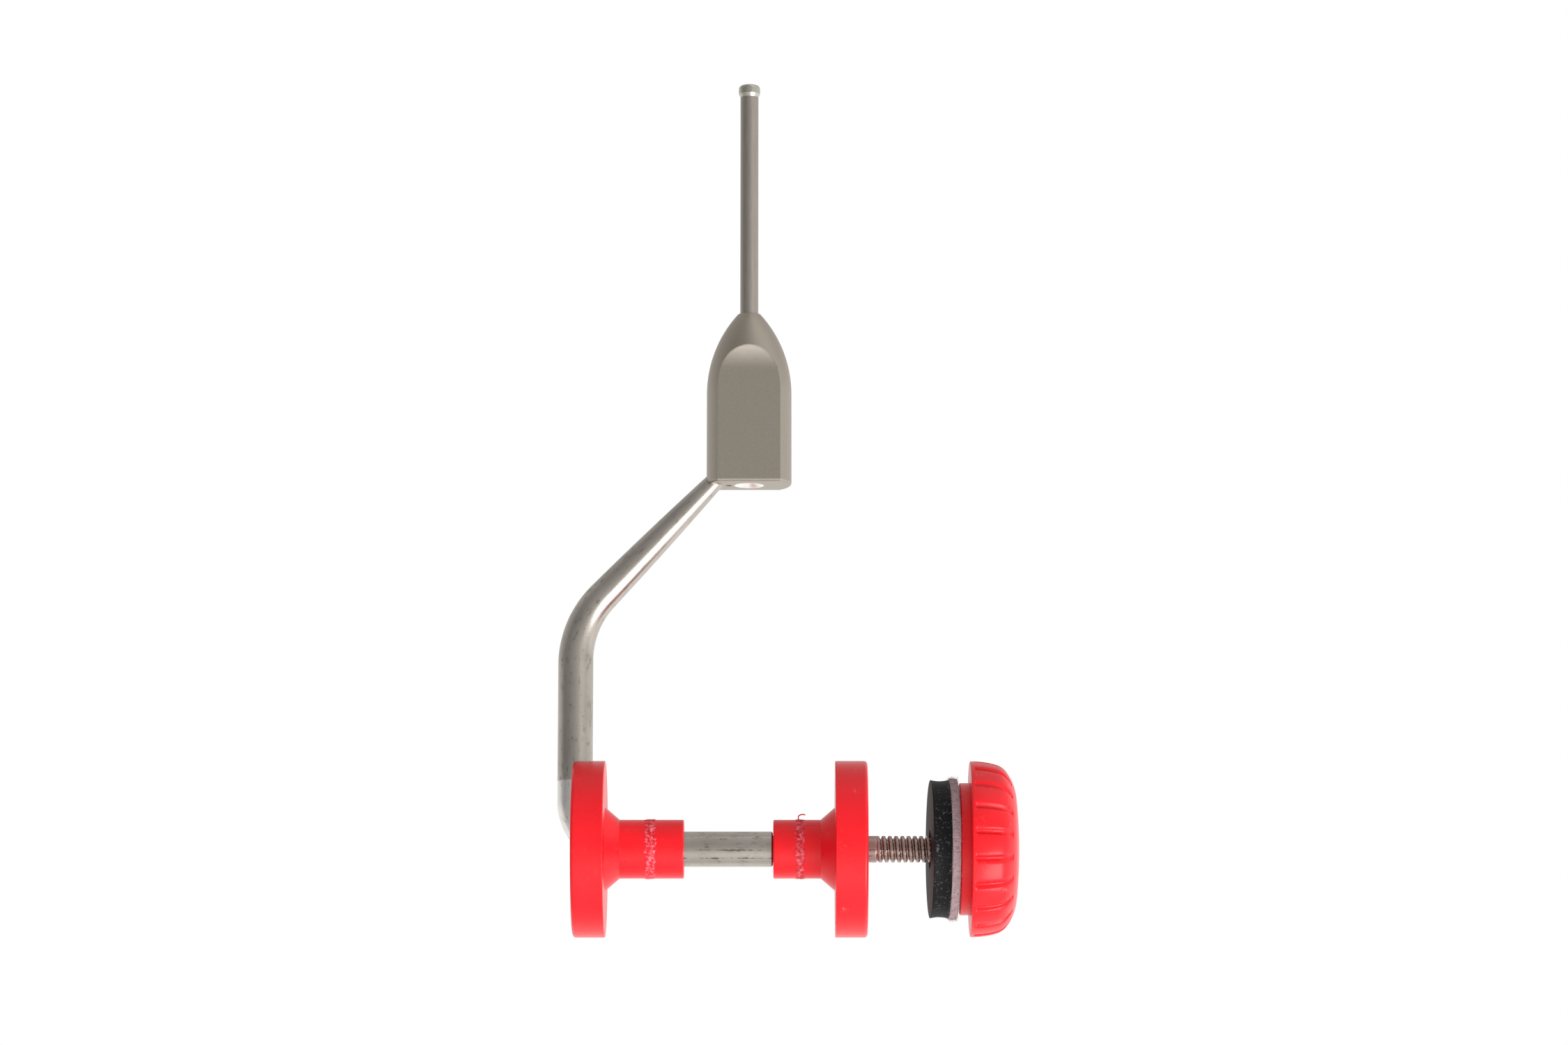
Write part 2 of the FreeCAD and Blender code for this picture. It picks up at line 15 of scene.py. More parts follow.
import bpy
import numpy as np
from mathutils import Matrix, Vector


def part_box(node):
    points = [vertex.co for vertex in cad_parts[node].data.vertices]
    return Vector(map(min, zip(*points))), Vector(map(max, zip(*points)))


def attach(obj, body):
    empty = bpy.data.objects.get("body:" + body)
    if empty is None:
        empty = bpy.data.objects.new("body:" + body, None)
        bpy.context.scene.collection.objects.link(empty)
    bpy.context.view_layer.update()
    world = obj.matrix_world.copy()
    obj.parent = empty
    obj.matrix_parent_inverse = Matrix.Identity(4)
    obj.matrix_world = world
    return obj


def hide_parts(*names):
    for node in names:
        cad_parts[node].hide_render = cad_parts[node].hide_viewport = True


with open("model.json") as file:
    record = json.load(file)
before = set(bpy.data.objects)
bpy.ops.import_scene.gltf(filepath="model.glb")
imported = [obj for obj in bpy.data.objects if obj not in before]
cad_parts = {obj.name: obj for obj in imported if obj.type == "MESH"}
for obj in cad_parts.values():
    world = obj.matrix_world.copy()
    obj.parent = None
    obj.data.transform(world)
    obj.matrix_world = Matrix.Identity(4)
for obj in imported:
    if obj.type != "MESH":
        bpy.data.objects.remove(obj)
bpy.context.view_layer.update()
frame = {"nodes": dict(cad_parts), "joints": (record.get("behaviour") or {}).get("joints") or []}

nodes = frame["nodes"]

# %% [markdown]
# ## Units
#
# Blender works in metres, and a bobbin holder is drawn in millimetres.  One named factor keeps the
# sizes below readable.  Three lines carry everything: the thread tube runs along x = 0, the shaft's
# axis is one rod radius above the arm's lowest point, and the leg's axis is one rod radius in from
# the arm's left side.

# %% Millimetres, and the axes of the tube, the shaft and the leg
MM = 0.001
ROD_RADIUS = 2.25
arm_low, arm_high = (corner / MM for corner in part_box("arm"))
shaft_z = arm_low.z + ROD_RADIUS
leg_x = arm_low.x + ROD_RADIUS
print("shaft axis z %.2f mm, leg axis x %.2f mm" % (shaft_z, leg_x))

# %% [markdown]
# ## The view
#
# A long lens from 70 cm away keeps the shaft and the tube square to each other.  The lens is a
# little below the shaft and looks up by nine degrees, which shows the undersides of the flanges.

# %% Camera
AIM = (4.5, 0.0, -57.77)
DISTANCE = 700.0
RISE = math.radians(-9.3)

camera_data = bpy.data.cameras.new("camera")
camera_data.lens = 124.8
camera_data.sensor_width = 36.0
camera_data.clip_start = 0.01
camera_data.clip_end = 50.0
camera = bpy.data.objects.new("camera", camera_data)
camera.location = (AIM[0] * MM,
                   (AIM[1] - DISTANCE * math.cos(RISE)) * MM,
                   (AIM[2] + DISTANCE * math.sin(RISE)) * MM)
camera.rotation_euler = (math.radians(90) - RISE, 0.0, 0.0)
bpy.context.scene.collection.objects.link(camera)
bpy.context.scene.camera = camera
print("camera at", [round(v, 4) for v in camera.location])

# %% [markdown]
# ## Colour and nodes
#
# A hex colour is sRGB, and a shader wants linear light, so every colour goes through `linear`.
# Every node is made by `add`, which sets its values and joins its inputs in one call.

# %% One function for colours, one for nodes
def linear(hex_colour, alpha=1.0):
    """An sRGB hex colour as the linear colour that a shader uses."""
    channels = [int(hex_colour[i:i + 2], 16) / 255 for i in (1, 3, 5)]
    return tuple(c / 12.92 if c <= 0.04045 else ((c + 0.055) / 1.055) ** 2.4
                 for c in channels) + (alpha,)


def add(tree, kind, settings=None, links=None):
    """Adds a node.  A setting is a socket's name or number, or else a property of the node."""
    node = tree.nodes.new(kind)
    for name, value in (settings or {}).items():
        if isinstance(name, int) or name in node.inputs:
            node.inputs[name].default_value = value
        else:
            setattr(node, name, value)
    for name, output in (links or {}).items():
        tree.links.new(output, node.inputs[name])
    return node


def set_stops(ramp, stops):
    """Gives a colour ramp its stops: (place from 0 to 1, colour)."""
    elements = ramp.color_ramp.elements
    while len(elements) < len(stops):
        elements.new(1.0)
    for element, (place, colour) in zip(elements, stops):
        element.position = place
        element.color = colour


print("knob red in linear light:", [round(c, 3) for c in linear("#e8141f")])

# %% [markdown]
# ## Studio
#
# The object hangs in a white tent.  The tent is bright below and behind, dimmer above, and dim
# round the lens, because polished metal shows whatever stands in front of it.  A world shader does
# that with two ramps: one over the angle round the x axis, front, up, back and down, and one from
# left to right.  Only the camera sees plain white.  The floor is an opal acrylic light table, which
# glows evenly, so the eye gets a pale ground without a shadow.
#
# Two soft boxes sit low: one on the right adds the long highlight on the slanting run of the rod,
# and one in front lifts the lower half of the red rims.  The floor is far below, and only shows when
# the camera looks down.

# %% The tent
world = bpy.data.worlds.new("tent")
bpy.context.scene.world = world
world.use_nodes = True
tent = world.node_tree
tent.nodes.clear()

BRIGHTEST = 2.0
ROUND_THE_X_AXIS = (            # degrees from the lens, up positive, and brightness
    (-180, 1.00), (-124, 1.10), (-95, 0.74), (-67, 0.85), (-42, 0.90), (-18, 0.66),
    (5, 0.50), (28, 0.46), (53, 0.50), (83, 0.66), (124, 0.60), (160, 0.75), (180, 1.00))
LEFT_TO_RIGHT = (               # degrees from the lens, right positive, and a factor
    (-180, 1.0), (-114, 0.90), (-74, 0.62), (-42, 0.72), (-14, 0.95), (14, 1.20),
    (42, 1.80), (80, 1.62), (114, 1.20), (180, 1.0))

place = add(tent, "ShaderNodeTexCoord")
axes = add(tent, "ShaderNodeSeparateXYZ", links={"Vector": place.outputs["Generated"]})
to_lens = add(tent, "ShaderNodeMath", {"operation": "MULTIPLY", 1: -1.0},
              {0: axes.outputs["Y"]})


def tent_ramp(tree, across, stops):
    """Brightness from the angle between the way to the lens and one of the other axes."""
    angle = add(tree, "ShaderNodeMath", {"operation": "ARCTAN2"},
                {0: across, 1: to_lens.outputs[0]})
    share = add(tree, "ShaderNodeMapRange",
                {"From Min": -math.pi, "From Max": math.pi}, {"Value": angle.outputs[0]})
    ramp = add(tree, "ShaderNodeValToRGB", links={"Fac": share.outputs["Result"]})
    ramp.color_ramp.interpolation = "EASE"
    set_stops(ramp, [(degrees / 360 + 0.5, (value / BRIGHTEST,) * 3 + (1.0,))
                     for degrees, value in stops])
    return ramp.outputs["Color"]


up_and_over = tent_ramp(tent, axes.outputs["Z"], ROUND_THE_X_AXIS)
side_to_side = tent_ramp(tent, axes.outputs["X"], LEFT_TO_RIGHT)
glow = add(tent, "ShaderNodeMix", {"data_type": "RGBA", "blend_type": "MULTIPLY", 0: 1.0},
           {6: up_and_over, 7: side_to_side})
lit = add(tent, "ShaderNodeBackground", {"Strength": BRIGHTEST ** 2},
          {"Color": glow.outputs[2]})
plain = add(tent, "ShaderNodeBackground", {"Color": (1, 1, 1, 1), "Strength": 1.0})
rays = add(tent, "ShaderNodeLightPath")
choice = add(tent, "ShaderNodeMixShader", links={
    0: rays.outputs["Is Camera Ray"], 1: lit.outputs[0], 2: plain.outputs[0]})
add(tent, "ShaderNodeOutputWorld", links={"Surface": choice.outputs[0]})
bpy.context.scene.view_settings.view_transform = "Standard"
print("tent:", len(tent.nodes), "nodes")

# %% The soft boxes
def soft_box(name, azimuth, elevation, width, height, brightness, away=1.0):
    """A rectangular light aimed at the object.  Azimuth is to the right of the lens, in degrees."""
    light = bpy.data.lights.new(name, "AREA")
    light.shape = "RECTANGLE"
    light.size = width
    light.size_y = height
    light.energy = brightness * math.pi * width * height
    lamp = bpy.data.objects.new(name, light)
    a, e = math.radians(azimuth), math.radians(elevation)
    lamp.location = (away * math.sin(a) * math.cos(e) + AIM[0] * MM,
                     -away * math.cos(a) * math.cos(e),
                     away * math.sin(e) + AIM[2] * MM)
    lamp.rotation_euler = (math.radians(90) - e, 0.0, a)
    lamp.visible_camera = False
    bpy.context.scene.collection.objects.link(lamp)
    return lamp


key = soft_box("low_right_soft_box", 42, -32, 0.62, 0.62, 5.2)
fill = soft_box("low_front_soft_box", -14, -40, 1.2, 0.9, 0.8)
fill.visible_glossy = False     # it lifts the plastic, and leaves the metals the tent's own bands
for lamp in (key, fill):
    print("soft box:", lamp.name, [round(v, 2) for v in lamp.location])

# %% The floor
def new_object(name, mesh):
    made = bpy.data.objects.new(name, mesh)
    bpy.context.scene.collection.objects.link(made)
    return made


FLOOR_DROP = 0.75
FLOOR_REACH = 6.0
corners = [(x * FLOOR_REACH, y * FLOOR_REACH, -FLOOR_DROP)
           for x, y in ((-1, -1), (1, -1), (1, 1), (-1, 1))]
floor_mesh = bpy.data.meshes.new("floor")
floor_mesh.from_pydata(corners, [], [(0, 1, 2, 3)])
floor = new_object("floor", floor_mesh)
floor.visible_diffuse = False
floor.visible_glossy = False
floor.visible_shadow = False

white_table = bpy.data.materials.new("opal_acrylic_light_table")
white_table.use_nodes = True
table_tree = white_table.node_tree
table_shader = table_tree.nodes["Principled BSDF"]
table_shader.inputs["Roughness"].default_value = 0.6
table_shader.inputs["Emission Strength"].default_value = 0.6
table_shader.inputs["Emission Color"].default_value = linear("#ffffff")
table_place = add(table_tree, "ShaderNodeTexCoord")
table_grain = add(table_tree, "ShaderNodeTexNoise", {"Scale": 3.0, "Detail": 1.0},
                  {"Vector": table_place.outputs["Object"]})
table_tone = add(table_tree, "ShaderNodeMix",
                 {"data_type": "RGBA", 6: linear("#f4f4f2"), 7: linear("#fafaf9")},
                 {0: table_grain.outputs[0]})
table_tree.links.new(table_tone.outputs[2], table_shader.inputs["Base Color"])
floor.data.materials.append(white_table)
print("floor: %.0f m across, %.2f m down" % (2 * FLOOR_REACH, FLOOR_DROP))

# %% [markdown]
# ## Meshes from rows of points
#
# The arm, the knob and the washers are all skins over rings: a row of points round an axis, then
# the next row along.  One function turns such a block of points into a mesh.  Edges between faces
# that meet at a steep angle are marked sharp, and the rest is shaded smooth.

# %% Skin over rings
def skin(name, rows, ring=False, sharp=32.0, unrolled=None):
    """A closed mesh over rows of points.  A ring's last row joins its first; else both ends
    are closed by a fan.  unrolled gives each point a second place, for a pattern to follow."""
    rows = np.asarray(rows, float)
    count, around = rows.shape[:2]
    points = rows.reshape(-1, 3)
    i, j = np.meshgrid(np.arange(count if ring else count - 1), np.arange(around), indexing="ij")
    i, j = i.ravel(), j.ravel()
    i_next, j_next = (i + 1) % count, (j + 1) % around
    faces = np.stack([i * around + j, i * around + j_next,
                      i_next * around + j_next, i_next * around + j], 1).tolist()
    if not ring:
        first, last = len(points), len(points) + 1
        points = np.vstack([points, rows[0].mean(0), rows[-1].mean(0)])
        end = (count - 1) * around
        faces += [(first, (k + 1) % around, k) for k in range(around)]
        faces += [(last, end + k, end + (k + 1) % around) for k in range(around)]
    mesh = bpy.data.meshes.new(name)
    mesh.from_pydata((points * MM).tolist(), [], faces)
    mesh.polygons.foreach_set("use_smooth", [True] * len(mesh.polygons))
    mesh.set_sharp_from_angle(angle=math.radians(sharp))
    if unrolled is not None:
        places = np.zeros((len(points), 3), np.float32)
        places[:count * around] = np.asarray(unrolled, np.float32).reshape(-1, 3) * MM
        places[count * around:] = points[count * around:] * MM
        layer = mesh.attributes.new("unrolled", "FLOAT_VECTOR", "POINT")
        layer.data.foreach_set("vector", places.ravel())
    mesh.validate()
    return new_object(name, mesh)


# %% Outlines with arcs
def arc(centre, radius, first, last, steps):
    """Points (along, out) on an arc about a centre, between two angles in degrees."""
    angles = np.radians(np.linspace(first, last, steps + 1))
    return [(centre[0] + radius * math.cos(a), centre[1] + radius * math.sin(a)) for a in angles]


def refined(outline, longest):
    """The same outline with its long runs divided."""
    made = []
    for (x0, r0), (x1, r1) in zip(outline, outline[1:]):
        steps = max(1, math.ceil(math.hypot(x1 - x0, r1 - r0) / longest))
        made += [(x0 + (x1 - x0) * k / steps, r0 + (r1 - r0) * k / steps) for k in range(steps)]
    return np.array(made + [outline[-1]])


print("a quarter circle in four steps:", len(arc((0, 0), 1, 0, 90, 4)), "points")

# %% [markdown]
# ## The arm
#
# The real arm is one stainless rod.  One end is turned down to a spindle and threaded, then the rod
# is bent up into a leg, bent again over a larger radius, and tapered into the head.  A curve with a
# bevel could follow the bends, but not carry a cut thread, so the rod is a skin over rings.  Each
# ring sits on the centre line with its own radius, and along the thread the radius also depends on
# the angle, which winds the groove into a right-hand helix.

# %% Centre line of the arm
LOWER_BEND = 6.1
UPPER_BEND = 12.4
LEAN = math.radians(43.7)
LEG_TOP = 24.03                 # above the shaft's axis, where the upper bend starts
SLANT_LENGTH = 22.53

shaft_run = arm_high.x - (leg_x + LOWER_BEND)
lower_run = LOWER_BEND * math.pi / 2
leg_run = LEG_TOP - LOWER_BEND
upper_run = UPPER_BEND * LEAN
runs = np.cumsum([0, shaft_run, lower_run, leg_run, upper_run, SLANT_LENGTH])
print("arm unrolled: %.1f mm" % runs[-1])


def on_arm(s):
    """Place (x, z) on the centre line, and its heading, at s mm from the threaded end."""
    if s < runs[1]:
        return arm_high.x - s, shaft_z, math.pi
    if s < runs[2]:
        a = (s - runs[1]) / LOWER_BEND
        return (leg_x + LOWER_BEND - LOWER_BEND * math.sin(a),
                shaft_z + LOWER_BEND - LOWER_BEND * math.cos(a), math.pi - a)
    if s < runs[3]:
        return leg_x, shaft_z + LOWER_BEND + s - runs[2], math.pi / 2
    a = min(s - runs[3], upper_run) / UPPER_BEND
    x = leg_x + UPPER_BEND * (1 - math.cos(a))
    z = shaft_z + LEG_TOP + UPPER_BEND * math.sin(a)
    rest = max(0.0, s - runs[4])
    return x + rest * math.sin(LEAN), z + rest * math.cos(LEAN), math.pi / 2 - a


# %% Radius along the arm
SPINDLE_RADIUS = 1.7
CHAMFER = 0.2
SHOULDER = 3.1                  # x of the shoulder where the spindle starts
THREAD_START = 16.2
THREAD_PITCH = 25.4 / 32
THREAD_DEPTH = 0.38
BEND_TAPER = 0.24
SLANT_TAPER = 0.936
SLANT_CROWN = 0.108
shoulder_run = arm_high.x - SHOULDER


def plain_radius(s):
    """Radius of the rod before the thread is cut."""
    if s < CHAMFER:
        return SPINDLE_RADIUS - CHAMFER + s
    if s < shoulder_run:
        return SPINDLE_RADIUS
    if s < shoulder_run + CHAMFER:
        return ROD_RADIUS - CHAMFER + (s - shoulder_run)
    if s < runs[3]:
        return ROD_RADIUS
    if s < runs[4]:
        return ROD_RADIUS - BEND_TAPER * (s - runs[3]) / upper_run
    t = (s - runs[4]) / SLANT_LENGTH
    return ROD_RADIUS - BEND_TAPER - SLANT_TAPER * t + 4 * SLANT_CROWN * t * (1 - t)


def thread_cut(x, angle):
    """How deep the groove is at x mm, at an angle about the +x axis."""
    turn = ((x - THREAD_START) / THREAD_PITCH - angle / (2 * math.pi)) % 1.0
    from_crest = np.abs(turn - 0.5) * 2
    flank = np.clip((0.62 - from_crest) / 0.52, 0, 1)
    flank = flank * flank * (3 - 2 * flank)
    run_in = np.clip((x - THREAD_START) / (0.6 * THREAD_PITCH), 0, 1)
    return THREAD_DEPTH * flank * run_in


print("thread: %.1f turns" % ((arm_high.x - THREAD_START) / THREAD_PITCH))

# %% The arm's skin
AROUND = 128
stations = list(np.arange(0, arm_high.x - THREAD_START + 0.3, 0.05))
stations += list(np.arange(stations[-1] + 0.3, shoulder_run, 0.3))
stations += [shoulder_run - 1e-3, shoulder_run, shoulder_run + CHAMFER]
stations += list(np.arange(stations[-1] + 0.25, runs[-1], 0.25)) + [runs[-1]]
angles = np.arange(AROUND) * 2 * math.pi / AROUND

arm_rows, arm_unrolled = [], []
for s in stations:
    x, z, heading = on_arm(s)
    side = np.array([math.sin(heading), 0.0, -math.cos(heading)])
    spokes = np.cos(angles)[:, None] * side + np.sin(angles)[:, None] * np.array([0.0, 1.0, 0.0])
    radius = np.full(AROUND, plain_radius(s))
    if x > THREAD_START - THREAD_PITCH:
        radius -= thread_cut(x, np.arctan2(spokes[:, 2], spokes[:, 1]))
    arm_rows.append(np.array([x, 0.0, z]) + spokes * radius[:, None])
    arm_unrolled.append(np.stack([np.full(AROUND, s), np.cos(angles) * ROD_RADIUS,
                                  np.sin(angles) * ROD_RADIUS], 1))
arm = skin("bent_arm", arm_rows, sharp=40, unrolled=arm_unrolled)
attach(arm, "frame")
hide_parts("arm")
print("arm:", len(arm.data.vertices), "points")

# %% [markdown]
# ## The knob
#
# The knob is moulded, and its grip is twenty narrow grooves with soft lips.  Booleans would leave
# hard edges, so the outline is turned round the shaft's axis with fine steps and each point is
# lowered by the groove that it lies in.  The grooves start just inside the left edge and run out
# on the shoulder of the dome.

# %% Outline of the knob
knob_low, knob_high = (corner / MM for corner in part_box("drag_knob"))
KNOB_RADIUS = knob_high.z - shaft_z
BOSS_RADIUS = 8.42
BOSS_LENGTH = 1.35
EDGE = 0.15
RIM_RUN = 0.15
INSERT_RADIUS = 3.0
INSERT_LENGTH = 5.6
CAVITY_RADIUS = 1.75
CAVITY_DEPTH = 6.9
GRIP_COUNT = 20
GRIP_DEPTH = 0.45
GRIP_WIDTH = 0.62
GRIP_INSET = 0.4
GRIP_LIP = 0.12                 # length over which a groove starts
GRIP_RUN_OUT = 0.75             # length over which it runs out, past the corner
GRIP_CLOCKING = math.radians(6)


def falling_arc(start, radius, first, last, steps):
    """An arc of the outline that falls away from the rim between two slopes, in degrees."""
    a = math.radians(first)
    centre = (start[0] - radius * math.sin(a), start[1] - radius * math.cos(a))
    return arc(centre, radius, 90 - first, 90 - last, steps)


crown = falling_arc((BOSS_LENGTH + EDGE + RIM_RUN, KNOB_RADIUS), 10.9, 0, 16, 16)
corner = falling_arc(crown[-1], 2.6, 16, 54, 14)
shoulder = falling_arc(corner[-1], 6.5, 54, 84, 16)
dome_radius = shoulder[-1][1] / math.cos(math.radians(84))
dome = falling_arc(shoulder[-1], dome_radius, 84, 89.9, 24)
knob_outline = (
    [(CAVITY_DEPTH, 0.02), (CAVITY_DEPTH, CAVITY_RADIUS), (INSERT_LENGTH, CAVITY_RADIUS),
     (INSERT_LENGTH, INSERT_RADIUS), (0, INSERT_RADIUS)]
    + arc((EDGE, BOSS_RADIUS - EDGE), EDGE, 180, 90, 5) + [(BOSS_LENGTH, BOSS_RADIUS)]
    + arc((BOSS_LENGTH + EDGE, KNOB_RADIUS - EDGE), EDGE, 180, 90, 5) + crown
    + corner[1:] + shoulder[1:] + dome[1:])
knob_profile = refined(knob_outline, 0.16)
print("knob outline: %d rings, %.2f mm long" % (len(knob_profile), knob_profile[:, 0].max()))

# %% Grooves and skin of the knob
PER_GROOVE = 26
columns = GRIP_COUNT * PER_GROOVE
knob_angles = np.arange(columns) * 2 * math.pi / columns
grip_start = BOSS_LENGTH + GRIP_INSET
pitch_angle = 2 * math.pi / GRIP_COUNT
corner_end = corner[-1][0]

knob_rows = []
for x, r in knob_profile:
    off_centre = knob_angles - math.pi / 2 + GRIP_CLOCKING + pitch_angle / 2
    off_centre = off_centre % pitch_angle - pitch_angle / 2
    across = np.abs(off_centre) * max(r, 0.1)
    shape = 1 / (1 + (across / (GRIP_WIDTH * 0.5)) ** 4)
    start = np.clip((x - grip_start) / GRIP_LIP, 0, 1) if r > BOSS_RADIUS + 0.5 else 0.0
    beyond = max(0.0, x - corner_end)
    depth = GRIP_DEPTH * max(0.0, 1 - beyond / GRIP_RUN_OUT)
    radius = r - depth * start * shape
    knob_rows.append(np.stack([np.full(columns, knob_low.x + x), radius * np.cos(knob_angles),
                               shaft_z + radius * np.sin(knob_angles)], 1))
knob = skin("grip_knob", knob_rows, sharp=50)
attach(knob, "knob")
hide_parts("drag_knob")
print("knob:", len(knob.data.vertices), "points")

# %% [markdown]
# ## The leaning washers
#
# The felt and the rubber disc have holes wider than the spindle, so they lean on it a little.  A
# straight ring could be made first and tilted afterwards.  Placing its points about the leaning
# axis needs no second step, and the frame gives that axis, as the disc's joint.

# %% The leaning axis
spin = next(joint for joint in frame["joints"] if joint["name"] == "disc_spin")
pivot = np.array(spin["pos_m"]) / MM
lean_axis = np.array(spin["axis"])
UP = np.array([0.0, 0.0, 1.0])
lean_side = np.cross(UP, lean_axis)
print("the disc and the felt lean by %.1f degrees" % math.degrees(math.acos(lean_axis[0])))


def leaning_ring(along, radius, angles):
    """Points round the leaning axis; along is measured from the disc's left face."""
    spokes = np.cos(angles)[:, None] * lean_side + np.sin(angles)[:, None] * UP
    centres = pivot + np.multiply.outer(np.broadcast_to(along, angles.shape), lean_axis)
    return centres + spokes * np.broadcast_to(radius, angles.shape)[:, None]


# %% [markdown]
# ## The felt washer
#
# Felt is wool fibre pressed until it mats, then punched out.  Its faces are nearly flat, and its
# cut rim is ragged with fibre ends that stand off it.  The washer's body is a ring whose rim
# wanders by a tenth of a millimetre, and the fibre ends are over a thousand fine curved hairs.  A
# particle system could grow the hairs, but plain meshes leave with the exported model.

# %% Sizes and a wandering edge
DISC_WIDTH = 2.3
WASHER_GAP = 0.02
RIM_BAND = 1.0                  # how far in from a rim its roughness reaches
FELT_HOLE = 2.1
FELT_WIDTH = 1.1
FELT_EDGE = 0.16
FELT_RAGGED = 0.09              # how far the rim wanders outwards and inwards
FELT_WAVY = 0.03                # how far its edges wander sideways
felt_start = DISC_WIDTH + WASHER_GAP
felt_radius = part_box("felt_washer")[1].z / MM - shaft_z


def wander(count, waves, seed):
    """A smooth closed curve of random height, about -1 to 1, over count steps."""
    source = np.random.default_rng(seed)
    turn = np.arange(count) * 2 * math.pi / count
    made = np.zeros(count)
    for wave in waves:
        made += np.cos(wave * turn + source.uniform(0, 2 * math.pi)) * source.uniform(0.5, 1.0)
    return made / math.sqrt(len(waves))


print("felt: radius %.2f mm" % felt_radius)

# %% Body of the felt washer
felt_section = ([(0.0, FELT_HOLE), (0.0, 5.0), (0.0, felt_radius - FELT_EDGE - 0.02)]
                + arc((FELT_EDGE, felt_radius - FELT_EDGE), FELT_EDGE, 180, 90, 4)
                + arc((FELT_WIDTH - FELT_EDGE, felt_radius - FELT_EDGE), FELT_EDGE, 90, 0, 4)
                + [(FELT_WIDTH, 5.0), (FELT_WIDTH, FELT_HOLE)])
felt_profile = refined(felt_section, 0.4)
FELT_AROUND = 720
felt_angles = np.arange(FELT_AROUND) * 2 * math.pi / FELT_AROUND
felt_rows = []
for k, (x, r) in enumerate(felt_profile):
    near_rim = np.clip((r - felt_radius + RIM_BAND) / RIM_BAND, 0, 1)
    rough = wander(FELT_AROUND, (3, 7, 13, 29, 47, 71, 97, 131, 163), 40 + k)
    wavy = wander(FELT_AROUND, (5, 11, 23, 61, 103), 90 + k)
    radius = r + FELT_RAGGED * rough * near_rim - FELT_WAVY * near_rim
    # the clip keeps the felt out of the rubber
    along = felt_start + np.clip(x + FELT_WAVY * wavy * near_rim, 0.0, FELT_WIDTH)
    felt_rows.append(leaning_ring(along, radius, felt_angles))
felt = skin("felt_ring", felt_rows, ring=True, sharp=60)
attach(felt, "drag_washer")
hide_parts("felt_washer")
print("felt ring:", len(felt.data.vertices), "points")

# %% Fibre ends on the rim of the felt
HAIRS = 1400
HAIR_LENGTHS = (0.25, 0.65)     # shortest and longest
HAIR_THICKNESS = 0.022          # half the width of a fibre at its root
HAIR_CURL = 0.45                # how much each fibre curls its own way


def hairs(name, roots, directions, lengths, thickness, source, sides=3, joints=4):
    """Fine curved hairs as three-sided tubes: each bends a little more at every joint."""
    points, faces = [], []
    for root, direction, length in zip(roots, directions, lengths):
        direction = direction / np.linalg.norm(direction)
        bend = source.normal(0, HAIR_CURL, 3)
        place = np.array(root, float)
        base = len(points)
        for k in range(joints):
            level = np.cross(direction, [0.31, 0.52, 0.79])
            level /= np.linalg.norm(level)
            over = np.cross(direction, level)
            thin = thickness * (1 - 0.7 * k / (joints - 1))
            for n in range(sides):
                a = 2 * math.pi * n / sides
                points.append(place + thin * (math.cos(a) * level + math.sin(a) * over))
            direction = direction + bend * 0.5
            direction = direction / np.linalg.norm(direction)
            place = place + direction * length / (joints - 1)
        for k in range(joints - 1):
            for n in range(sides):
                m = (n + 1) % sides
                faces.append((base + k * sides + n, base + k * sides + m,
                              base + (k + 1) * sides + m, base + (k + 1) * sides + n))
        faces.append(tuple(base + n for n in range(sides))[::-1])
        faces.append(tuple(base + (joints - 1) * sides + n for n in range(sides)))
    mesh = bpy.data.meshes.new(name)
    mesh.from_pydata((np.array(points) * MM).tolist(), [], faces)
    mesh.polygons.foreach_set("use_smooth", [True] * len(mesh.polygons))
    return new_object(name, mesh)


rng = np.random.default_rng(11)
root_angles = rng.uniform(0, 2 * math.pi, HAIRS)
root_along = felt_start + rng.uniform(0.05, FELT_WIDTH - 0.05, HAIRS)
hair_roots = leaning_ring(root_along, felt_radius - 0.12, root_angles)
outward = np.cos(root_angles)[:, None] * lean_side + np.sin(root_angles)[:, None] * UP
hair_headings = outward * 0.5 + rng.normal(0, 0.6, (HAIRS, 3))
hair_headings += outward * np.clip(0.2 - (hair_headings * outward).sum(1), 0, 2)[:, None]
felt_hairs = hairs("felt_fibres", hair_roots, hair_headings,
                   rng.uniform(*HAIR_LENGTHS, HAIRS), HAIR_THICKNESS, rng)
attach(felt_hairs, "drag_washer")
print("felt fibres:", HAIRS)

# %% [markdown]
# ## The rubber disc
#
# The disc is punched from rubber sheet.  The punch drags the middle of the cut rim inwards and
# leaves the two edges proud, so its section is a rectangle with a hollow rim and tiny round edges.

# %% The rubber disc
disc_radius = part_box("friction_disc")[1].z / MM - shaft_z
DISC_HOLE = 2.5
RIM_DIP = 0.16
DISC_EDGE = 0.07
RUBBER_ROUGH = 0.02             # how far the cut rim wanders
rim = [(x, disc_radius - RIM_DIP * (1 - (2 * x / DISC_WIDTH - 1) ** 2))
       for x in np.linspace(DISC_EDGE, DISC_WIDTH - DISC_EDGE, 13)]
disc_section = ([(DISC_EDGE, DISC_HOLE), (0.0, DISC_HOLE + DISC_EDGE)]
                + arc((DISC_EDGE, rim[0][1] - DISC_EDGE), DISC_EDGE, 180, 90, 3) + rim[1:]
                + arc((DISC_WIDTH - DISC_EDGE, rim[-1][1] - DISC_EDGE), DISC_EDGE, 90, 0, 3)
                + [(DISC_WIDTH, DISC_HOLE + DISC_EDGE), (DISC_WIDTH - DISC_EDGE, DISC_HOLE)])
disc_profile = refined(disc_section, 0.6)
DISC_AROUND = 256
disc_angles = np.arange(DISC_AROUND) * 2 * math.pi / DISC_AROUND
disc_rows = []
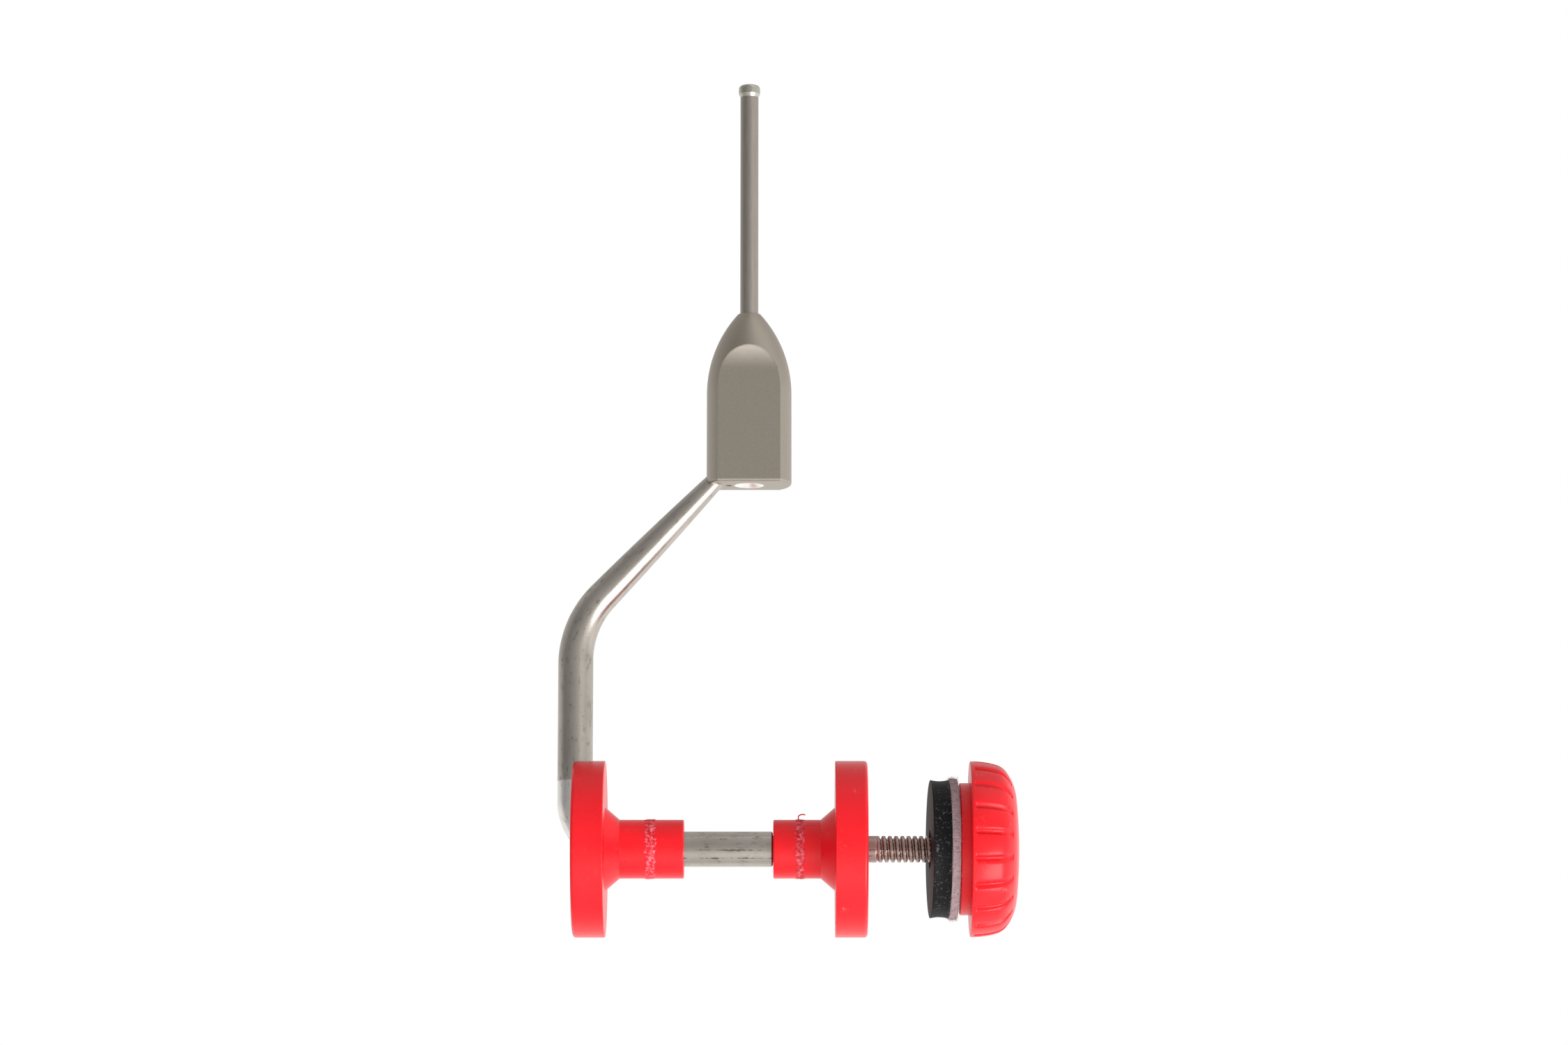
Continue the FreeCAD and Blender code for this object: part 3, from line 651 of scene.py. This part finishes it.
for x, r in disc_profile:
    near_rim = float(np.clip((r - disc_radius + RIM_BAND) / RIM_BAND, 0, 1))
    radius = r - RUBBER_ROUGH * near_rim * (1 + wander(DISC_AROUND, (2, 5, 9, 17), 7))
    disc_rows.append(leaning_ring(x, radius, disc_angles))
disc = skin("rubber_disc", disc_rows, ring=True, sharp=50)
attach(disc, "drag_disc")
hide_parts("friction_disc")
print("rubber disc: radius %.2f mm" % disc_radius)

# %% [markdown]
# ## Mould flash
#
# Where two halves of a mould meet, a little plastic creeps into the gap.  Each hub carries a low
# ragged band of it, torn pale where it was trimmed, and on the right hub one shred still stands up.
# A bump in the material wouldn't change the outline, so the bands are thin rings of their own.

# %% Bands of flash on the hubs
HUB_RADIUS = 3.75
FLASH_AROUND = 540
FLASH_ROOT = 0.05               # how far the band reaches into the hub
FLASH_WANDER = 0.14             # how far its edges wander, as a share of its width
flash_angles = np.arange(FLASH_AROUND) * 2 * math.pi / FLASH_AROUND


def flash_band(name, body, middle, width, height, seed):
    """A low ragged ring on a hub: its edges wander, and its height comes and goes."""
    waves = (2, 5, 9, 17, 31, 53, 83)
    edges = [wander(FLASH_AROUND, waves, seed + k) * width * FLASH_WANDER for k in range(2)]
    rows = []
    for k, share in enumerate(np.linspace(0, 1, 9)):
        x = middle + width * (share - 0.5) + edges[0] * (1 - share) + edges[1] * share
        rough = 0.55 + 0.45 * wander(FLASH_AROUND, waves + (121, 167), seed + 10 + k)
        rise = height * np.clip(rough, 0.05, 1.6) * math.sin(math.pi * share) ** 0.35
        radius = HUB_RADIUS - 0.01 + (rise if 0 < share < 1 else 0.0)
        radius = np.broadcast_to(radius, flash_angles.shape)
        rows.append(np.stack([x, radius * np.cos(flash_angles),
                              shaft_z + radius * np.sin(flash_angles)], 1))
    under = HUB_RADIUS - FLASH_ROOT
    for row in (rows[-1], rows[0]):
        rows.append(np.stack([row[:, 0], under * np.cos(flash_angles),
                              shaft_z + under * np.sin(flash_angles)], 1))
    band = skin(name, rows, ring=True, sharp=70)
    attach(band, body)
    return band


left_flash = flash_band("left_hub_flash", "frame", -12.5, 1.3, 0.10, 200)
right_flash = flash_band("right_hub_flash", "right_holder", 6.55, 1.1, 0.09, 300)
print("flash bands:", left_flash.name, right_flash.name)

# %% [markdown]
# ## The standing shred
#
# The shred is a thin strip of plastic that stands up from the band and hooks over to the right.  It
# follows seven points, and a subdivision rounds it, because a strip this small needs no more.

# %% The standing shred
shred_line = [(6.30, -0.9, 3.62), (6.34, -0.95, 3.86), (6.30, -1.0, 4.08), (6.46, -1.0, 4.24),
              (6.72, -0.98, 4.33), (6.98, -0.95, 4.36), (7.22, -0.9, 4.27)]
shred_width = (0.30, 0.26, 0.22, 0.24, 0.20, 0.15, 0.05)
SHRED_THICK = 0.085
SHRED_SIDES = 10
shred_rows = []
for k, (x, y, z) in enumerate(shred_line):
    before, after = shred_line[max(k - 1, 0)], shred_line[min(k + 1, len(shred_line) - 1)]
    forward = np.array(after) - np.array(before)
    forward /= np.linalg.norm(forward)
    flat = np.cross(forward, [0.0, 1.0, 0.0])
    flat /= np.linalg.norm(flat)
    turn = np.arange(SHRED_SIDES) * 2 * math.pi / SHRED_SIDES
    wide = np.array([0.0, 1.0, 0.0]) * shred_width[k]
    shred_rows.append(np.array([x, y, shaft_z + z]) + np.cos(turn)[:, None] * wide
                      + np.sin(turn)[:, None] * flat * SHRED_THICK)
shred = skin("hub_shred", shred_rows, sharp=80)
smoother = shred.modifiers.new("smoother", "SUBSURF")
smoother.levels = smoother.render_levels = 2
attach(shred, "right_holder")
print("shred stands %.2f mm off the hub" % (max(p[2] for p in shred_line) - HUB_RADIUS))

# %% [markdown]
# ## Finishes
#
# Each finish starts from what the real surface is.  Colour alone looks like paint, so most also
# have their own roughness and a fine relief, at a scale worked out from a size in millimetres.  A
# painted image could carry them, but a noise has no seams, and stays sharp when looked at closely.

# %% Starting a finish
def finish_called(name):
    """A new material: its node tree, its shader and the place that patterns are measured in."""
    material = bpy.data.materials.new(name)
    material.use_nodes = True
    tree = material.node_tree
    coordinates = add(tree, "ShaderNodeTexCoord")
    return material, tree, tree.nodes["Principled BSDF"], coordinates.outputs["Object"]


def per(millimetres):
    """Noise scale for features of that size."""
    return 1 / (millimetres * MM)


def dull(tree, shader, pattern, least, most):
    """Lets a pattern set the roughness, between its least and its most."""
    spread = add(tree, "ShaderNodeMapRange", {"To Min": least, "To Max": most},
                 {"Value": pattern.outputs[0]})
    tree.links.new(spread.outputs["Result"], shader.inputs["Roughness"])


def pit(tree, shader, pattern, strength, depth):
    """Lets a pattern raise and lower the surface, by a depth in millimetres."""
    bump = add(tree, "ShaderNodeBump", {"Strength": strength, "Distance": depth * MM},
               {"Height": pattern.outputs[0]})
    tree.links.new(bump.outputs[0], shader.inputs["Normal"])


def wear(piece, material):
    """Gives a piece, or every slot of a CAD node, this finish."""
    if not piece.material_slots:
        piece.data.materials.append(material)
    for holder in piece.material_slots:
        holder.material = material
    print(piece.name, "wears", material.name)


# %% [markdown]
# ### The rod: drawn stainless steel
#
# Stainless rod is pulled through a die, which leaves fine lines along it and a soft grey gloss.
# The eye gets stretched reflections and faint streaks.  The pattern follows the unrolled rod, so
# the lines go round the bends with it.  The lines are drawn 0.16 mm wide, several times coarser
# than real ones, or they wouldn't show.

# %% Drawn stainless rod
drawn_rod, tree, shader, place = finish_called("drawn_stainless_rod")
shader.inputs["Metallic"].default_value = 1.0
unrolled_place = add(tree, "ShaderNodeAttribute",
                     {"attribute_type": "GEOMETRY", "attribute_name": "unrolled"})
stretched = add(tree, "ShaderNodeMapping", {"Scale": (0.04, 1.0, 1.0)},
                {"Vector": unrolled_place.outputs["Vector"]})
lines = add(tree, "ShaderNodeTexNoise", {"Scale": per(0.16), "Detail": 4.0, "Roughness": 0.6},
            {"Vector": stretched.outputs[0]})
cloud = add(tree, "ShaderNodeTexNoise", {"Scale": per(5.0), "Detail": 2.0},
            {"Vector": unrolled_place.outputs["Vector"]})
tone = add(tree, "ShaderNodeMix",
           {"data_type": "RGBA", 6: linear("#a59d94"), 7: linear("#c6bfb6")},
           {0: cloud.outputs[0]})

# %% [markdown]
# ### Marks and painted reflections on the rod
#
# The lower bend is painted paler than the leg, with a sharp line where it changes: a painted
# reflection.  Nicks and pits from handling are darker.  The turned spindle is painted a little
# browner than the rest, a painted reflection of the red holders.  The turned spindle is drawn a
# little browner than the rest, and its cause isn't known.
# Masks on the unrolled rod place all of these, so each mark keeps its place on the steel.

# %% The pale bend, a painted reflection
PALE_ABOVE_BEND = 2.6           # how far the painted reflection reaches up the leg
run = add(tree, "ShaderNodeSeparateXYZ", links={"Vector": unrolled_place.outputs["Vector"]})
past = add(tree, "ShaderNodeMath", {"operation": "GREATER_THAN", 1: runs[1] * MM},
           {0: run.outputs["X"]})
pale_end = runs[2] + PALE_ABOVE_BEND
short_of = add(tree, "ShaderNodeMath", {"operation": "LESS_THAN", 1: pale_end * MM},
               {0: run.outputs["X"]})
bend_reflection_mask = add(tree, "ShaderNodeMath", {"operation": "MULTIPLY"},
            {0: past.outputs[0], 1: short_of.outputs[0]})
# the lower bend and the foot of the leg are painted paler: a painted reflection
bend_reflection_tone = add(tree, "ShaderNodeMix", {"data_type": "RGBA", 7: linear("#ece7e2")},
                {0: bend_reflection_mask.outputs[0], 6: tone.outputs[2]})

# %% Nicks, and two scratches along the front of the shaft
nick_place = add(tree, "ShaderNodeMapping", {"Scale": (0.45, 1.0, 1.0)},
                 {"Vector": unrolled_place.outputs["Vector"]})
nicks = add(tree, "ShaderNodeTexNoise", {"Scale": per(0.7), "Detail": 4.0, "Roughness": 0.75},
            {"Vector": nick_place.outputs[0]})
nick_mask = add(tree, "ShaderNodeMapRange", {"From Min": 0.56, "From Max": 0.68,
                                             "To Max": 0.6}, {"Value": nicks.outputs[0]})
SCRATCHES = ((-0.35, 0.07), (-1.35, 0.08))      # height from the axis, and half the width
marks = nick_mask.outputs["Result"]
in_front = add(tree, "ShaderNodeMath", {"operation": "LESS_THAN", 1: 0.0},
               {0: run.outputs["Z"]})
on_shaft = add(tree, "ShaderNodeMath", {"operation": "LESS_THAN", 1: runs[1] * MM},
               {0: run.outputs["X"]})
dashes = add(tree, "ShaderNodeMapRange", {"From Min": 0.42, "From Max": 0.56},
             {"Value": nicks.outputs[0]})
for height, half_width in SCRATCHES:
    on_line = add(tree, "ShaderNodeMath",
                  {"operation": "COMPARE", 1: height * MM, 2: half_width * MM},
                  {0: run.outputs["Y"]})
    scratch = dashes.outputs["Result"]
    for gate in (on_line, in_front, on_shaft):
        scratch = add(tree, "ShaderNodeMath", {"operation": "MULTIPLY"},
                      {0: scratch, 1: gate.outputs[0]}).outputs[0]
    marks = add(tree, "ShaderNodeMath", {"operation": "MAXIMUM"},
                {0: marks, 1: scratch}).outputs[0]

# %% The spindle's painted reflection of the red, and the rod's gloss
# the turned spindle is painted browner: a painted reflection of the red holders
turned = add(tree, "ShaderNodeMath", {"operation": "LESS_THAN", 1: shoulder_run * MM},
             {0: run.outputs["X"]})
painted_reflections_tone = add(tree, "ShaderNodeMix", {"data_type": "RGBA", 7: linear("#ab968e")},
            {0: turned.outputs[0], 6: bend_reflection_tone.outputs[2]})
nicked = add(tree, "ShaderNodeMix", {"data_type": "RGBA", 7: linear("#6c6560")},
             {0: marks, 6: painted_reflections_tone.outputs[2]})
tree.links.new(nicked.outputs[2], shader.inputs["Base Color"])
dull(tree, shader, lines, 0.22, 0.32)
pit(tree, shader, lines, 0.08, 0.004)
wear(arm, drawn_rod)

# %% [markdown]
# ### The head: bead-blasted steel
#
# Glass beads dent the steel all over, so it is matt and has no lines, and the eye gets a soft warm
# grey with no reflections.  Real dents are finer than can be seen here, and are drawn 0.22 mm wide.

# %% Bead-blasted steel
blasted, tree, shader, place = finish_called("bead_blasted_steel")
shader.inputs["Metallic"].default_value = 1.0
grit = add(tree, "ShaderNodeTexNoise", {"Scale": per(0.22), "Detail": 3.0},
           {"Vector": place})
tone = add(tree, "ShaderNodeMix",
           {"data_type": "RGBA", 6: linear("#a1988c"), 7: linear("#b2a99c")},
           {0: grit.outputs[0]})

# %% [markdown]
# ### Painted highlights on the head
#
# Each finger flat ends in a scoop that is painted paler towards its top: a painted highlight.  A
# point is in the scoop when it lies inside the turned outline of the nose, so the mask needs that
# outline as a formula.  The countersink under the head is painted near white: freshly cut metal,
# with its glints painted in as a painted highlight.

# %% The turned outline of the nose
RUN_OUT_START = shaft_z + 61.9
RUN_OUT_END = shaft_z + 66.0
NOSE_START = shaft_z + 59.0
HEAD_RADIUS = 5.47
NOSE_ARC = 15.8
CUT_MARGIN = 0.12               # how far inside the turned outline a cut surface must be
across = add(tree, "ShaderNodeSeparateXYZ", links={"Vector": place})
lifted = add(tree, "ShaderNodeMapRange",
             {"From Min": RUN_OUT_START * MM, "From Max": RUN_OUT_END * MM},
             {"Value": across.outputs["Z"]})
sideways = add(tree, "ShaderNodeVectorMath", {"operation": "MULTIPLY", 1: (1.0, 1.0, 0.0)},
               {0: place})
from_axis = add(tree, "ShaderNodeVectorMath", {"operation": "LENGTH"},
                {0: sideways.outputs[0]})
climb = add(tree, "ShaderNodeMath", {"operation": "SUBTRACT", 1: NOSE_START * MM},
            {0: across.outputs["Z"]})
squared = add(tree, "ShaderNodeMath", {"operation": "MULTIPLY"},
              {0: climb.outputs[0], 1: climb.outputs[0]})
under = add(tree, "ShaderNodeMath", {"operation": "SUBTRACT", 0: (NOSE_ARC * MM) ** 2},
            {1: squared.outputs[0]})
swing = add(tree, "ShaderNodeMath", {"operation": "SQRT"}, {0: under.outputs[0]})
nose = add(tree, "ShaderNodeMath", {"operation": "ADD",
                                    1: (HEAD_RADIUS - NOSE_ARC - CUT_MARGIN) * MM},
           {0: swing.outputs[0]})

# %% The scoops' painted highlight
inside = add(tree, "ShaderNodeMath", {"operation": "LESS_THAN"},
             {0: from_axis.outputs["Value"], 1: nose.outputs[0]})
# the top of each scoop is painted paler: a painted highlight, made patchy by a noise
scoop_highlight_mask = add(tree, "ShaderNodeMath", {"operation": "MULTIPLY"},
              {0: lifted.outputs["Result"], 1: inside.outputs[0]})
highlight_noise = add(tree, "ShaderNodeTexNoise", {"Scale": per(1.4), "Detail": 3.0},
            {"Vector": place})
patchy = add(tree, "ShaderNodeMath", {"operation": "MULTIPLY_ADD", 1: 0.5, 2: 0.72},
             {0: highlight_noise.outputs[0]})
share = add(tree, "ShaderNodeMath", {"operation": "MULTIPLY", "use_clamp": True},
            {0: scoop_highlight_mask.outputs[0], 1: patchy.outputs[0]})
bright = add(tree, "ShaderNodeMix", {"data_type": "RGBA", 7: linear("#ccc4b8")},
             {0: share.outputs[0], 6: tone.outputs[2]})

# %% The countersink's painted glint, and the head's gloss
COUNTERSINK_RADIUS = 1.9
COUNTERSINK_TOP = shaft_z + 48.0
low_down = add(tree, "ShaderNodeMath", {"operation": "LESS_THAN", 1: COUNTERSINK_TOP * MM},
               {0: across.outputs["Z"]})
in_hole = add(tree, "ShaderNodeMath", {"operation": "LESS_THAN", 1: COUNTERSINK_RADIUS * MM},
              {0: from_axis.outputs["Value"]})
countersink_glint_mask = add(tree, "ShaderNodeMath", {"operation": "MULTIPLY"},
            {0: low_down.outputs[0], 1: in_hole.outputs[0]})
# the countersink is painted near white: freshly cut metal with a painted glint
cut = add(tree, "ShaderNodeMix", {"data_type": "RGBA", 7: linear("#fbf8f3")},
          {0: countersink_glint_mask.outputs[0], 6: bright.outputs[2]})
tree.links.new(cut.outputs[2], shader.inputs["Base Color"])
dull(tree, shader, grit, 0.36, 0.46)
pit(tree, shader, grit, 0.3, 0.01)
wear(nodes["head_block"], blasted)

# %% [markdown]
# ### The tube: drawn stainless steel
#
# The tube is drawn like the rod but left duller, so the eye gets one soft stripe along it.  The
# lines run straight up, so the tube needs no unrolled pattern.  They are drawn 0.14 mm wide to show.

# %% Drawn stainless tube
drawn_tube, tree, shader, place = finish_called("drawn_stainless_tube")
shader.inputs["Metallic"].default_value = 1.0
stretched = add(tree, "ShaderNodeMapping", {"Scale": (1.0, 1.0, 0.05)}, {"Vector": place})
lines = add(tree, "ShaderNodeTexNoise", {"Scale": per(0.14), "Detail": 3.0},
            {"Vector": stretched.outputs[0]})
tone = add(tree, "ShaderNodeMix",
           {"data_type": "RGBA", 6: linear("#9a928a"), 7: linear("#b3aba1")},
           {0: lines.outputs[0]})
tree.links.new(tone.outputs[2], shader.inputs["Base Color"])
dull(tree, shader, lines, 0.34, 0.44)
pit(tree, shader, lines, 0.06, 0.004)
wear(nodes["thread_tube"], drawn_tube)

# %% [markdown]
# ### The tip: polished steel
#
# The thread slides over the tip, so it is polished, and the eye gets sharp small highlights.  Only
# a faint cloud of wear, half a millimetre wide, breaks the gloss.

# %% Polished steel tip
polished, tree, shader, place = finish_called("polished_steel_tip")
shader.inputs["Metallic"].default_value = 1.0
scuffs = add(tree, "ShaderNodeTexNoise", {"Scale": per(0.5), "Detail": 3.0}, {"Vector": place})
tone = add(tree, "ShaderNodeMix",
           {"data_type": "RGBA", 6: linear("#b4b0a4"), 7: linear("#c6c2b6")},
           {0: scuffs.outputs[0]})
tree.links.new(tone.outputs[2], shader.inputs["Base Color"])
dull(tree, shader, scuffs, 0.14, 0.26)
wear(nodes["tube_tip_guide"], polished)

# %% [markdown]
# ### The holders and the knob: moulded ABS
#
# ABS leaves the mould with a satin gloss and a slight orange peel, and a little light goes into the
# red before it comes back.  The eye gets a deep even red with soft pale reflections.  A trace of
# subsurface scattering gives that depth.  The hairline scuffs are drawn coarser than real ones.

# %% Moulded red ABS
moulded, tree, shader, place = finish_called("moulded_red_abs")
shader.inputs["IOR"].default_value = 1.49
shader.inputs["Specular IOR Level"].default_value = 0.34
shader.inputs["Subsurface Weight"].default_value = 0.15
shader.inputs["Subsurface Radius"].default_value = (1.0, 0.12, 0.08)
shader.inputs["Subsurface Scale"].default_value = 0.4 * MM
swirl = add(tree, "ShaderNodeTexNoise", {"Scale": per(4.0), "Detail": 3.0}, {"Vector": place})
tone = add(tree, "ShaderNodeMix",
           {"data_type": "RGBA", 6: linear("#e8121e"), 7: linear("#f41b27")},
           {0: swirl.outputs[0]})

# %% Hairline scuffs, where a soft noise crosses one height, kept in patches
height = add(tree, "ShaderNodeTexNoise", {"Scale": per(1.8), "Detail": 1.0, "Distortion": 0.6},
             {"Vector": place})
level = add(tree, "ShaderNodeMath", {"operation": "SUBTRACT", 1: 0.5}, {0: height.outputs[0]})
apart = add(tree, "ShaderNodeMath", {"operation": "ABSOLUTE"}, {0: level.outputs[0]})
hairline = add(tree, "ShaderNodeMapRange", {"From Max": 0.006, "To Min": 1.0, "To Max": 0.0},
               {"Value": apart.outputs[0]})
patches = add(tree, "ShaderNodeTexNoise", {"Scale": per(2.6), "Detail": 1.0}, {"Vector": place})
patch = add(tree, "ShaderNodeMapRange", {"From Min": 0.55, "From Max": 0.66, "To Max": 0.30},
            {"Value": patches.outputs[0]})
scuff = add(tree, "ShaderNodeMath", {"operation": "MULTIPLY"},
            {0: hairline.outputs["Result"], 1: patch.outputs["Result"]})
scuffed = add(tree, "ShaderNodeMix", {"data_type": "RGBA", 7: linear("#ff9a98")},
              {0: scuff.outputs[0], 6: tone.outputs[2]})
tree.links.new(scuffed.outputs[2], shader.inputs["Base Color"])
dull(tree, shader, swirl, 0.22, 0.34)
peel = add(tree, "ShaderNodeTexNoise", {"Scale": per(0.7), "Detail": 2.0}, {"Vector": place})
pit(tree, shader, peel, 0.25, 0.01)
for piece in (nodes["left_spool_holder"], nodes["right_spool_holder"], knob):
    wear(piece, moulded)

# %% [markdown]
# ### The flash: torn ABS
#
# Plastic goes pale where it is torn or stretched, so the eye gets whitish streaks in the red.

# %% Torn flash
torn, tree, shader, place = finish_called("torn_red_abs_flash")
shader.inputs["IOR"].default_value = 1.49
shader.inputs["Specular IOR Level"].default_value = 0.34
stress = add(tree, "ShaderNodeTexNoise", {"Scale": per(0.45), "Detail": 4.0, "Roughness": 0.65},
             {"Vector": place})
pale = add(tree, "ShaderNodeMapRange", {"From Min": 0.45, "From Max": 0.64, "To Max": 0.8},
           {"Value": stress.outputs[0]})
tone = add(tree, "ShaderNodeMix",
           {"data_type": "RGBA", 6: linear("#d8101e"), 7: linear("#f58b9c")},
           {0: pale.outputs["Result"]})
tree.links.new(tone.outputs[2], shader.inputs["Base Color"])
dull(tree, shader, stress, 0.30, 0.55)
pit(tree, shader, stress, 0.6, 0.03)
wear(left_flash, torn)
wear(right_flash, torn)
wear(shred, moulded)

# %% [markdown]
# ### The disc: punched rubber
#
# Rubber takes up almost all light, and its cut rim holds dust.  The eye gets a matt black with
# grey specks.  The specks are drawn 0.4 mm wide, coarser than real dust, to show.

# %% Punched rubber
rubber, tree, shader, place = finish_called("punched_black_rubber")
shader.inputs["Specular IOR Level"].default_value = 0.2
dust = add(tree, "ShaderNodeTexNoise", {"Scale": per(0.40), "Detail": 5.0, "Roughness": 0.75},
           {"Vector": place})
specks = add(tree, "ShaderNodeMapRange", {"From Min": 0.57, "From Max": 0.67},
             {"Value": dust.outputs[0]})
tone = add(tree, "ShaderNodeMix",
           {"data_type": "RGBA", 6: linear("#060607"), 7: linear("#646467")},
           {0: specks.outputs["Result"]})
tree.links.new(tone.outputs[2], shader.inputs["Base Color"])
dull(tree, shader, dust, 0.50, 0.70)
pit(tree, shader, dust, 0.5, 0.03)
wear(disc, rubber)

# %% [markdown]
# ### The washer: pressed wool felt
#
# Felt scatters light among its fibres, so it has no highlight, and a sheen brightens its outline.
# The mat is drawn as a warped noise of 0.22 mm, several fibres wide, because one wouldn't show.

# %% Pressed wool felt
wool, tree, shader, place = finish_called("pressed_wool_felt")
shader.inputs["Roughness"].default_value = 0.95
shader.inputs["Sheen Weight"].default_value = 0.35
shader.inputs["Sheen Roughness"].default_value = 0.5
mat_noise = add(tree, "ShaderNodeTexNoise",
                {"Scale": per(0.22), "Detail": 6.0, "Roughness": 0.7, "Distortion": 1.5},
                {"Vector": place})
tone = add(tree, "ShaderNodeMix",
           {"data_type": "RGBA", 6: linear("#775a5e"), 7: linear("#ccb5b8")},
           {0: mat_noise.outputs[0]})
tree.links.new(tone.outputs[2], shader.inputs["Base Color"])
pit(tree, shader, mat_noise, 0.8, 0.06)
wear(felt, wool)
wear(felt_hairs, wool)

# %% [markdown]
# ### The insert: turned brass
#
# A lathe leaves fine rings round the insert, and the eye gets a warm yellow gloss.  The rings are
# drawn 0.10 mm wide, coarser than real ones.  The insert is hardly ever seen, so it is kept simple.

# %% Turned brass
turned_brass, tree, shader, place = finish_called("turned_brass")
shader.inputs["Metallic"].default_value = 1.0
stretched = add(tree, "ShaderNodeMapping", {"Scale": (1.0, 0.05, 0.05)}, {"Vector": place})
rings = add(tree, "ShaderNodeTexNoise", {"Scale": per(0.10), "Detail": 2.0},
            {"Vector": stretched.outputs[0]})
tone = add(tree, "ShaderNodeMix",
           {"data_type": "RGBA", 6: linear("#c9a75a"), 7: linear("#dcbc72")},
           {0: rings.outputs[0]})
tree.links.new(tone.outputs[2], shader.inputs["Base Color"])
dull(tree, shader, rings, 0.22, 0.36)
wear(nodes["knob_thread_insert"], turned_brass)
